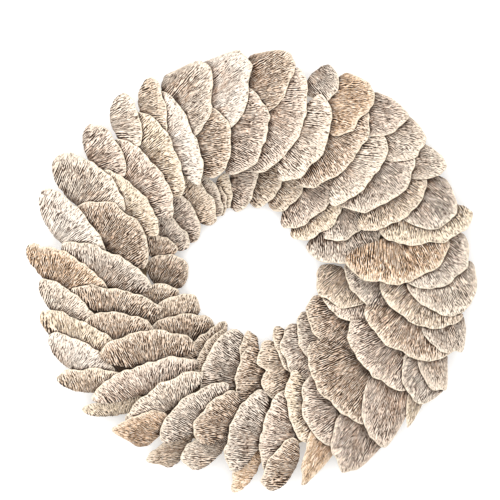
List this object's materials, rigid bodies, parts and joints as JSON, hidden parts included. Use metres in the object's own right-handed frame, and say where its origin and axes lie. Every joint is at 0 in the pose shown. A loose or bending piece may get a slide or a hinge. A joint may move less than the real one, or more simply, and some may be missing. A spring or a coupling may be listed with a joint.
{
  "type": "tree fungus wreath",
  "caption": "Flat round wreath of overlapping dried bracket fungi, gilled face outward, on a bound straw ring with a flat back.",
  "frame": {"origin": "middle of the wreath's bounding box, on the surface that its back rests on", "axes": "+Z out of the wreath's face, +Y to the wreath's top, +X to the right seen from the front"},
  "size_m": [0.3673, 0.3618, 0.0592],
  "materials": {
    "fungus": "dry, matt, white-washed, finely gilled",
    "straw": "dry straw, matt with a slight sheen",
    "twine": "natural twisted fibre, matt"
  },
  "bodies": {
    "root": {"binding_twine": "twine", "bracket_i01": "fungus", "bracket_i02": "fungus", "bracket_i03": "fungus", "bracket_i04": "fungus", "bracket_i05": "fungus", "bracket_i06": "fungus", "bracket_i07": "fungus", "bracket_i08": "fungus", "bracket_i09_i10": "fungus", "bracket_i11": "fungus", "bracket_i12_i13": "fungus", "bracket_i14": "fungus", "bracket_i15": "fungus", "bracket_i16": "fungus", "bracket_i17_i18": "fungus", "bracket_i19": "fungus", "bracket_i20": "fungus", "bracket_i21_i22": "fungus", "bracket_i23": "fungus", "bracket_i24": "fungus", "bracket_i25": "fungus", "bracket_i26": "fungus", "bracket_i27": "fungus", "bracket_i28": "fungus", "bracket_i29": "fungus", "bracket_i30_i31": "fungus", "bracket_m01_o01_o02": "fungus", "bracket_m02_m03_m04_o03": "fungus", "bracket_m05_o05_o06": "fungus", "bracket_m06_m07_o07": "fungus", "bracket_m08": "fungus", "bracket_m09_o09_o10_o11": "fungus", "bracket_m10_m11_o12_o13": "fungus", "bracket_m12_o14_o15": "fungus", "bracket_m13_o17": "fungus", "bracket_m14_o18_o19": "fungus", "bracket_m15": "fungus", "bracket_m16": "fungus", "bracket_m17_m18": "fungus", "bracket_m19_o25": "fungus", "bracket_m20_o27": "fungus", "bracket_m21": "fungus", "bracket_m22_o30": "fungus", "bracket_m23_m24_o31": "fungus", "bracket_m25_m26_o32_o33": "fungus", "bracket_m27_o34": "fungus", "bracket_m28_m29_o36": "fungus", "bracket_o04": "fungus", "bracket_o08": "fungus", "bracket_o16": "fungus", "bracket_o20": "fungus", "bracket_o21": "fungus", "bracket_o22": "fungus", "bracket_o23": "fungus", "bracket_o24": "fungus", "bracket_o26": "fungus", "bracket_o28_o29": "fungus", "bracket_o35": "fungus", "straw_ring": "straw"}
  },
  "joints": []
}
